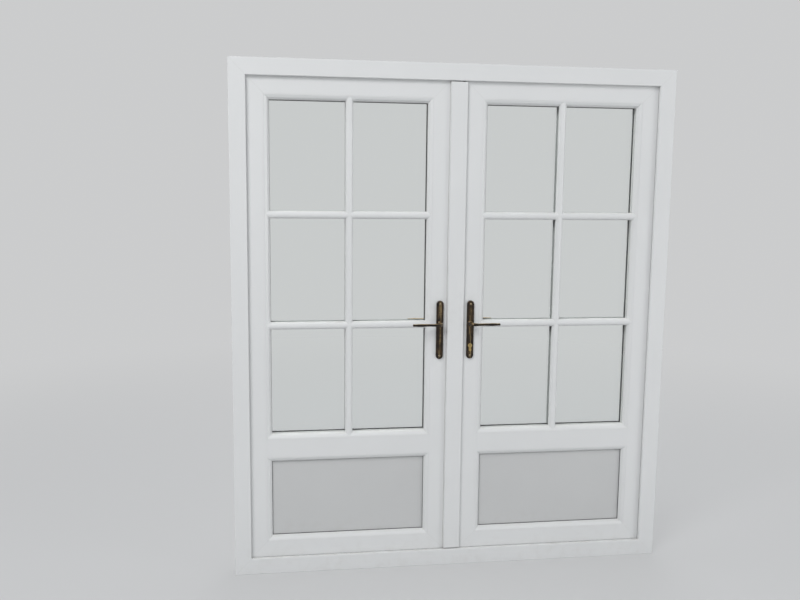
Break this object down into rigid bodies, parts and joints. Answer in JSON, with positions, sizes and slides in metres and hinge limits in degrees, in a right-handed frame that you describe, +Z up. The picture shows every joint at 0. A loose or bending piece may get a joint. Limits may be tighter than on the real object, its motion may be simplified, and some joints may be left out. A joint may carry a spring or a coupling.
{
  "type": "french doors",
  "caption": "Outward-opening french doors in a white plastic frame, with barred glass above low panels, a floating mullion and long bronze lever handles.",
  "frame": {"origin": "middle of the frame's underside, halfway through its depth", "axes": "+X right as seen from the room, +Y outwards, +Z up"},
  "size_m": [1.81, 0.1728, 2.08],
  "materials": {
    "pvc_white": "smooth satin white PVC-U",
    "panel_white": "matt white sheet",
    "glass": "clear float glass",
    "rubber_dark": "matt dark seal",
    "galvanised": "galvanised",
    "spacer": "mill aluminium",
    "antique_bronze": "dark antique bronze",
    "lock_steel": "plated steel",
    "cylinder_brass": "satin brass",
    "hinge_white": "white powder coat"
  },
  "bodies": {
    "frame": {"frame_left_jamb": "pvc_white", "frame_head": "pvc_white", "frame_right_jamb": "pvc_white", "frame_sill": "pvc_white", "frame_steel": "galvanised", "frame_seal": "rubber_dark", "shoot_bolt_keeps": "lock_steel", "hinge_frame_flags": "hinge_white", "hinge_pins": "lock_steel"},
    "right_leaf": {"right_lock_stile": "pvc_white", "right_hinge_stile": "pvc_white", "right_top_rail": "pvc_white", "right_mid_rail": "pvc_white", "right_bottom_rail": "pvc_white", "right_steel": "galvanised", "right_flange_seal": "rubber_dark", "right_panes": "glass", "right_panel": "panel_white", "right_beads": "pvc_white", "right_gaskets": "rubber_dark", "right_packers": "rubber_dark", "right_glazing_bars": "pvc_white", "right_unit_spacer": "spacer", "right_handle_plates": "antique_bronze", "right_handle_screws": "antique_bronze", "right_hinge_leaf_flags": "hinge_white", "right_lock": "lock_steel", "lock_cylinder": "cylinder_brass"},
    "left_leaf": {"left_lock_stile": "pvc_white", "left_hinge_stile": "pvc_white", "left_top_rail": "pvc_white", "left_mid_rail": "pvc_white", "left_bottom_rail": "pvc_white", "left_steel": "galvanised", "left_flange_seal": "rubber_dark", "left_panes": "glass", "left_panel": "panel_white", "left_beads": "pvc_white", "left_gaskets": "rubber_dark", "left_packers": "rubber_dark", "left_glazing_bars": "pvc_white", "left_unit_spacer": "spacer", "left_handle_plates": "antique_bronze", "left_handle_screws": "antique_bronze", "left_hinge_leaf_flags": "hinge_white", "left_gear": "lock_steel", "mullion": "pvc_white", "mullion_end_caps": "pvc_white", "mullion_seal": "rubber_dark", "lock_keeps": "lock_steel"},
    "right_lever": {"right_levers": "antique_bronze", "right_spindle": "lock_steel"},
    "left_lever": {"left_levers": "antique_bronze", "left_spindle": "lock_steel"},
    "right_lock_bolts": {"right_bolts": "lock_steel", "right_latch": "lock_steel"},
    "left_upper_bolt": {"left_top_bolt": "lock_steel"},
    "left_lower_bolt": {"left_bottom_bolt": "lock_steel"},
    "inside_plug": {"plug_inside": "cylinder_brass"},
    "outside_plug": {"plug_outside": "cylinder_brass"}
  },
  "joints": [
    {"name": "right_leaf_swing", "type": "hinge", "parent": "frame", "child": "right_leaf", "pos_m": [0.871, 0.062, 1.04], "axis": [0, 0, -1], "range_deg": [0, 100]},
    {"name": "left_leaf_swing", "type": "hinge", "parent": "frame", "child": "left_leaf", "pos_m": [-0.871, 0.062, 1.04], "axis": [0, 0, 1], "range_deg": [0, 90]},
    {"name": "right_lever_turn", "type": "hinge", "parent": "right_leaf", "child": "right_lever", "pos_m": [0.064, 0.018, 1.038], "axis": [0, 1, 0], "range_deg": [-40, 40], "stiffness_Nm_per_rad": 4, "springref_deg": -2.29},
    {"name": "left_lever_turn", "type": "hinge", "parent": "left_leaf", "child": "left_lever", "pos_m": [-0.064, 0.018, 1.038], "axis": [0, -1, 0], "range_deg": [-40, 40], "stiffness_Nm_per_rad": 4, "springref_deg": -2.29},
    {"name": "right_bolts_slide", "type": "slide", "parent": "right_leaf", "child": "right_lock_bolts", "axis": [1, 0, 0], "range_m": [-0.019, 0.019]},
    {"name": "left_upper_bolt_slide", "type": "slide", "parent": "left_leaf", "child": "left_upper_bolt", "axis": [0, 0, 1], "range_m": [-0.019, 0.019]},
    {"name": "left_lower_bolt_slide", "type": "slide", "parent": "left_leaf", "child": "left_lower_bolt", "axis": [0, 0, -1], "range_m": [-0.019, 0.019]},
    {"name": "inside_plug_turn", "type": "hinge", "parent": "right_leaf", "child": "inside_plug", "pos_m": [0.064, -0.028, 0.946], "axis": [0, 1, 0], "range_deg": [0, 360]},
    {"name": "outside_plug_turn", "type": "hinge", "parent": "right_leaf", "child": "outside_plug", "pos_m": [0.064, 0.064, 0.946], "axis": [0, -1, 0], "range_deg": [0, 360]}
  ],
  "couplings": [
    {"joint": "left_leaf_swing", "follows": "right_leaf_swing", "ratio": 0.9},
    {"joint": "right_bolts_slide", "follows": "right_lever_turn", "m_per_rad": 0.0272},
    {"joint": "left_upper_bolt_slide", "follows": "left_lever_turn", "m_per_rad": -0.0272},
    {"joint": "left_lower_bolt_slide", "follows": "left_lever_turn", "m_per_rad": -0.0272}
  ]
}
